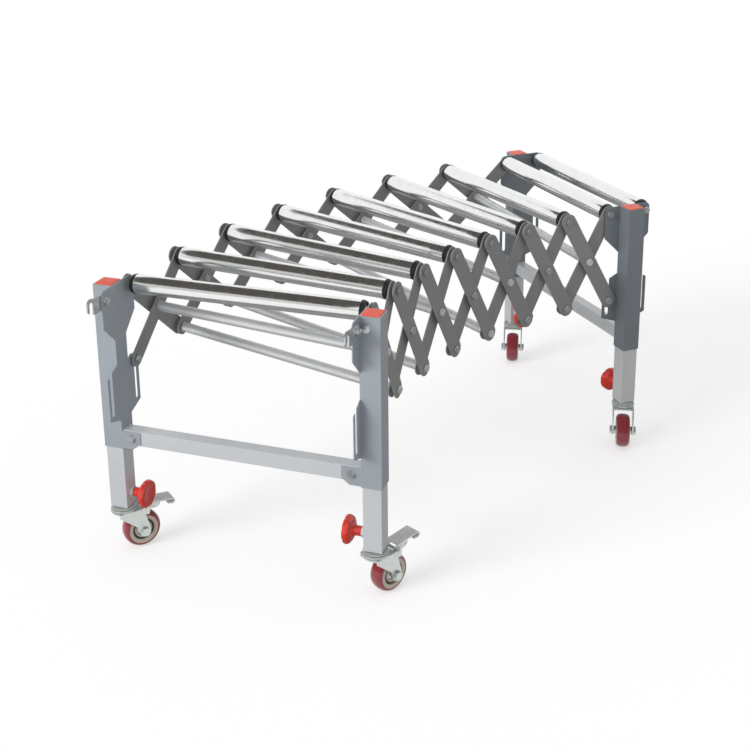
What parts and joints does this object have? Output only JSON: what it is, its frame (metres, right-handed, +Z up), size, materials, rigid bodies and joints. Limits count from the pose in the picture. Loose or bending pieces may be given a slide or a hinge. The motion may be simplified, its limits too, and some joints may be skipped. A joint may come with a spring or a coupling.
{
  "type": "roller table",
  "caption": "Expandable roller table on casters, with a scissor lattice bent into a curve between two end frames, telescoping legs with clamp knobs, and link hooks.",
  "frame": {"origin": "on the floor, under the middle of the whole outline at rest", "axes": "+X along the table from the near frame, which carries the hooks, to the far frame, +Y to the left, +Z up"},
  "size_m": [1.4024, 0.6687, 0.5695],
  "materials": {
    "near_bracket_steel": "smooth grey paint",
    "far_bracket_steel": "smooth dark grey paint",
    "leg_tube_steel": "satin silver paint",
    "crossbar_steel": "satin silver paint",
    "arm_steel": "satin grey paint",
    "post_cap_plastic": "moulded red plastic",
    "knob_plastic": "moulded red plastic",
    "roller_steel": "bright zinc plated tube with black bearing caps",
    "zinc_steel": "zinc plated",
    "hook_zinc": "zinc plated sheet",
    "fork_zinc": "bright zinc plated pressed steel",
    "tread_rubber": "maroon polyurethane tread on a cream rim"
  },
  "bodies": {
    "near_frame": {"near_brackets": "near_bracket_steel", "near_legs": "leg_tube_steel", "near_crossbar": "crossbar_steel", "near_caps": "post_cap_plastic", "near_bolts": "zinc_steel"},
    "far_frame": {"far_brackets": "far_bracket_steel", "far_legs": "leg_tube_steel", "far_crossbar": "crossbar_steel", "far_caps": "post_cap_plastic", "far_bolts": "zinc_steel"},
    "pair_a1": {"arms_a1": "arm_steel", "tie_c1": "zinc_steel", "tie_b1": "zinc_steel"},
    "pair_b1": {"arms_b1": "arm_steel"},
    "pair_a2": {"arms_a2": "arm_steel", "tie_b2": "zinc_steel"},
    "pair_b2": {"arms_b2": "arm_steel"},
    "pair_a3": {"arms_a3": "arm_steel", "tie_c3": "zinc_steel"},
    "pair_b3": {"arms_b3": "arm_steel"},
    "pair_a4": {"arms_a4": "arm_steel", "tie_b4": "zinc_steel"},
    "pair_b4": {"arms_b4": "arm_steel"},
    "pair_a5": {"arms_a5": "arm_steel", "tie_c5": "zinc_steel"},
    "pair_b5": {"arms_b5": "arm_steel"},
    "pair_a6": {"arms_a6": "arm_steel"},
    "pair_b6": {"arms_b6": "arm_steel"},
    "pair_a7": {"arms_a7": "arm_steel", "tie_c7": "zinc_steel"},
    "pair_b7": {"arms_b7": "arm_steel"},
    "roller_1": {"roller_1": "roller_steel"},
    "roller_2": {"roller_2": "roller_steel"},
    "roller_3": {"roller_3": "roller_steel"},
    "roller_4": {"roller_4": "roller_steel"},
    "roller_5": {"roller_5": "roller_steel"},
    "roller_6": {"roller_6": "roller_steel"},
    "roller_7": {"roller_7": "roller_steel"},
    "roller_8": {"roller_8": "roller_steel"},
    "roller_9": {"roller_9": "roller_steel"},
    "leg_nl": {"slide_leg_nl": "zinc_steel"},
    "caster_nl": {"fork_nl": "fork_zinc"},
    "wheel_nl": {"wheel_nl": "tread_rubber"},
    "knob_nl": {"knob_nl": "knob_plastic"},
    "pedal_nl": {"pedal_nl": "fork_zinc"},
    "leg_nr": {"slide_leg_nr": "zinc_steel"},
    "caster_nr": {"fork_nr": "fork_zinc"},
    "wheel_nr": {"wheel_nr": "tread_rubber"},
    "knob_nr": {"knob_nr": "knob_plastic"},
    "pedal_nr": {"pedal_nr": "fork_zinc"},
    "leg_fl": {"slide_leg_fl": "zinc_steel"},
    "caster_fl": {"fork_fl": "fork_zinc"},
    "wheel_fl": {"wheel_fl": "tread_rubber"},
    "knob_fl": {"knob_fl": "knob_plastic"},
    "leg_fr": {"slide_leg_fr": "zinc_steel"},
    "caster_fr": {"fork_fr": "fork_zinc"},
    "wheel_fr": {"wheel_fr": "tread_rubber"},
    "knob_fr": {"knob_fr": "knob_plastic"},
    "hook_l": {"hook_l": "hook_zinc"},
    "hook_r": {"hook_r": "hook_zinc"}
  },
  "joints": [
    {"name": "fold_a1", "type": "hinge", "parent": "near_frame", "child": "pair_a1", "pos_m": [-0.46614, -0.02399, 0.55], "axis": [-0.4091, 0.9125, 0], "range_deg": [0, 12]},
    {"name": "fold_b1", "type": "hinge", "parent": "pair_a1", "child": "pair_b1", "pos_m": [-0.39925, 0.00128, 0.46128], "axis": [-0.3531, 0.9343, 0.0485], "range_deg": [-24, 0]},
    {"name": "fold_a2", "type": "hinge", "parent": "pair_b1", "child": "pair_a2", "pos_m": [-0.33237, 0.02655, 0.55], "axis": [-0.2965, 0.955, 0], "range_deg": [0, 24]},
    {"name": "fold_b2", "type": "hinge", "parent": "pair_a2", "child": "pair_b2", "pos_m": [-0.26293, 0.04361, 0.46128], "axis": [-0.2383, 0.97, 0.0485], "range_deg": [-24, 0]},
    {"name": "fold_a3", "type": "hinge", "parent": "pair_b2", "child": "pair_a3", "pos_m": [-0.1935, 0.06067, 0.55], "axis": [-0.1797, 0.9837, 0], "range_deg": [0, 24]},
    {"name": "fold_b3", "type": "hinge", "parent": "pair_a3", "child": "pair_b3", "pos_m": [-0.12252, 0.06925, 0.46128], "axis": [-0.12, 0.9916, 0.0485], "range_deg": [-24, 0]},
    {"name": "fold_a4", "type": "hinge", "parent": "pair_b3", "child": "pair_a4", "pos_m": [-0.05153, 0.07784, 0.55], "axis": [-0.0602, 0.9982, 0], "range_deg": [0, 24]},
    {"name": "fold_b4", "type": "hinge", "parent": "pair_a4", "child": "pair_b4", "pos_m": [0.01997, 0.07784, 0.46128], "axis": [0, 0.9988, 0.0485], "range_deg": [-24, 0]},
    {"name": "fold_a5", "type": "hinge", "parent": "pair_b4", "child": "pair_a5", "pos_m": [0.09147, 0.07784, 0.55], "axis": [0.0602, 0.9982, 0], "range_deg": [0, 24]},
    {"name": "fold_b5", "type": "hinge", "parent": "pair_a5", "child": "pair_b5", "pos_m": [0.16245, 0.06925, 0.46128], "axis": [0.12, 0.9916, 0.0485], "range_deg": [-24, 0]},
    {"name": "fold_a6", "type": "hinge", "parent": "pair_b5", "child": "pair_a6", "pos_m": [0.23343, 0.06067, 0.55], "axis": [0.1797, 0.9837, 0], "range_deg": [0, 24]},
    {"name": "fold_b6", "type": "hinge", "parent": "pair_a6", "child": "pair_b6", "pos_m": [0.30287, 0.04361, 0.46128], "axis": [0.2383, 0.97, 0.0485], "range_deg": [-24, 0]},
    {"name": "fold_a7", "type": "hinge", "parent": "pair_b6", "child": "pair_a7", "pos_m": [0.3723, 0.02655, 0.55], "axis": [0.2965, 0.955, 0], "range_deg": [0, 24]},
    {"name": "fold_b7", "type": "hinge", "parent": "pair_a7", "child": "pair_b7", "pos_m": [0.43919, 0.00128, 0.46128], "axis": [0.3531, 0.9343, 0.0485], "range_deg": [-24, 0]},
    {"name": "fold_far", "type": "hinge", "parent": "pair_b7", "child": "far_frame", "pos_m": [0.50607, -0.02399, 0.55], "axis": [0.4091, 0.9125, 0], "range_deg": [0, 12]},
    {"name": "roll_1", "type": "hinge", "parent": "near_frame", "child": "roller_1", "pos_m": [-0.46614, -0.02399, 0.55], "axis": [-0.4091, 0.9125, 0], "continuous": true},
    {"name": "roll_2", "type": "hinge", "parent": "pair_b1", "child": "roller_2", "pos_m": [-0.33237, 0.02655, 0.55], "axis": [-0.2965, 0.955, 0], "continuous": true},
    {"name": "roll_3", "type": "hinge", "parent": "pair_b2", "child": "roller_3", "pos_m": [-0.1935, 0.06067, 0.55], "axis": [-0.1797, 0.9837, 0], "continuous": true},
    {"name": "roll_4", "type": "hinge", "parent": "pair_b3", "child": "roller_4", "pos_m": [-0.05153, 0.07784, 0.55], "axis": [-0.0602, 0.9982, 0], "continuous": true},
    {"name": "roll_5", "type": "hinge", "parent": "pair_b4", "child": "roller_5", "pos_m": [0.09147, 0.07784, 0.55], "axis": [0.0602, 0.9982, 0], "continuous": true},
    {"name": "roll_6", "type": "hinge", "parent": "pair_b5", "child": "roller_6", "pos_m": [0.23343, 0.06067, 0.55], "axis": [0.1797, 0.9837, 0], "continuous": true},
    {"name": "roll_7", "type": "hinge", "parent": "pair_b6", "child": "roller_7", "pos_m": [0.3723, 0.02655, 0.55], "axis": [0.2965, 0.955, 0], "continuous": true},
    {"name": "roll_8", "type": "hinge", "parent": "pair_b7", "child": "roller_8", "pos_m": [0.50607, -0.02399, 0.55], "axis": [0.4091, 0.9125, 0], "continuous": true},
    {"name": "roll_9", "type": "hinge", "parent": "far_frame", "child": "roller_9", "pos_m": [0.5882, -0.06081, 0.55], "axis": [0.4091, 0.9125, 0], "continuous": true},
    {"name": "leg_slide_nl", "type": "slide", "parent": "near_frame", "child": "leg_nl", "axis": [0, 0, -1], "range_m": [0, 0.34]},
    {"name": "swivel_nl", "type": "hinge", "parent": "leg_nl", "child": "caster_nl", "pos_m": [-0.61501, 0.19804, 0.038], "axis": [0, 0, 1], "continuous": true},
    {"name": "wheel_turn_nl", "type": "hinge", "parent": "caster_nl", "child": "wheel_nl", "pos_m": [-0.5841, 0.18975, 0.038], "axis": [0.2588, 0.9659, 0], "continuous": true},
    {"name": "brake_nl", "type": "hinge", "parent": "caster_nl", "child": "pedal_nl", "pos_m": [-0.5783, 0.1882, 0.086], "axis": [0.2588, 0.9659, 0], "range_deg": [-11, 4]},
    {"name": "knob_turn_nl", "type": "hinge", "parent": "near_frame", "child": "knob_nl", "pos_m": [-0.60682, 0.17979, 0.13], "axis": [0.4091, -0.9125, 0], "range_deg": [0, 720]},
    {"name": "leg_slide_nr", "type": "slide", "parent": "near_frame", "child": "leg_nr", "axis": [0, 0, -1], "range_m": [0, 0.34]},
    {"name": "swivel_nr", "type": "hinge", "parent": "leg_nr", "child": "caster_nr", "pos_m": [-0.3994, -0.28284, 0.038], "axis": [0, 0, 1], "continuous": true},
    {"name": "wheel_turn_nr", "type": "hinge", "parent": "caster_nr", "child": "wheel_nr", "pos_m": [-0.36744, -0.28452, 0.038], "axis": [0.0523, 0.9986, 0], "continuous": true},
    {"name": "brake_nr", "type": "hinge", "parent": "caster_nr", "child": "pedal_nr", "pos_m": [-0.36145, -0.28483, 0.086], "axis": [0.0523, 0.9986, 0], "range_deg": [0, 15]},
    {"name": "knob_turn_nr", "type": "hinge", "parent": "near_frame", "child": "knob_nr", "pos_m": [-0.40758, -0.26459, 0.13], "axis": [-0.4091, 0.9125, 0], "range_deg": [0, 720]},
    {"name": "leg_slide_fl", "type": "slide", "parent": "far_frame", "child": "leg_fl", "axis": [0, 0, -1], "range_m": [0, 0.34]},
    {"name": "swivel_fl", "type": "hinge", "parent": "leg_fl", "child": "caster_fl", "pos_m": [0.65494, 0.19804, 0.038], "axis": [0, 0, 1], "continuous": true},
    {"name": "wheel_turn_fl", "type": "hinge", "parent": "caster_fl", "child": "wheel_fl", "pos_m": [0.62872, 0.17968, 0.038], "axis": [0.5736, -0.8192, 0], "continuous": true},
    {"name": "knob_turn_fl", "type": "hinge", "parent": "far_frame", "child": "knob_fl", "pos_m": [0.64676, 0.17979, 0.13], "axis": [-0.4091, -0.9125, 0], "range_deg": [0, 720]},
    {"name": "leg_slide_fr", "type": "slide", "parent": "far_frame", "child": "leg_fr", "axis": [0, 0, -1], "range_m": [0, 0.34]},
    {"name": "swivel_fr", "type": "hinge", "parent": "leg_fr", "child": "caster_fr", "pos_m": [0.43933, -0.28284, 0.038], "axis": [0, 0, 1], "continuous": true},
    {"name": "wheel_turn_fr", "type": "hinge", "parent": "caster_fr", "child": "wheel_fr", "pos_m": [0.41312, -0.30119, 0.038], "axis": [0.5736, -0.8192, 0], "continuous": true},
    {"name": "knob_turn_fr", "type": "hinge", "parent": "far_frame", "child": "knob_fr", "pos_m": [0.44751, -0.26459, 0.13], "axis": [0.4091, 0.9125, 0], "range_deg": [0, 720]},
    {"name": "hook_swing_l", "type": "hinge", "parent": "near_frame", "child": "hook_l", "pos_m": [-0.64613, 0.16479, 0.545], "axis": [-0.4091, 0.9125, 0], "range_deg": [-80, 30]},
    {"name": "hook_swing_r", "type": "hinge", "parent": "near_frame", "child": "hook_r", "pos_m": [-0.44492, -0.28396, 0.545], "axis": [-0.4091, 0.9125, 0], "range_deg": [-80, 30]}
  ],
  "couplings": [
    {"joint": "fold_b1", "follows": "fold_a1", "ratio": -2},
    {"joint": "fold_b2", "follows": "fold_a1", "ratio": -2},
    {"joint": "fold_a2", "follows": "fold_a1", "ratio": 2},
    {"joint": "fold_b3", "follows": "fold_a1", "ratio": -2},
    {"joint": "fold_a3", "follows": "fold_a1", "ratio": 2},
    {"joint": "fold_b4", "follows": "fold_a1", "ratio": -2},
    {"joint": "fold_a4", "follows": "fold_a1", "ratio": 2},
    {"joint": "fold_b5", "follows": "fold_a1", "ratio": -2},
    {"joint": "fold_a5", "follows": "fold_a1", "ratio": 2},
    {"joint": "fold_b6", "follows": "fold_a1", "ratio": -2},
    {"joint": "fold_a6", "follows": "fold_a1", "ratio": 2},
    {"joint": "fold_b7", "follows": "fold_a1", "ratio": -2},
    {"joint": "fold_a7", "follows": "fold_a1", "ratio": 2},
    {"joint": "fold_far", "follows": "fold_a1", "ratio": 1}
  ]
}
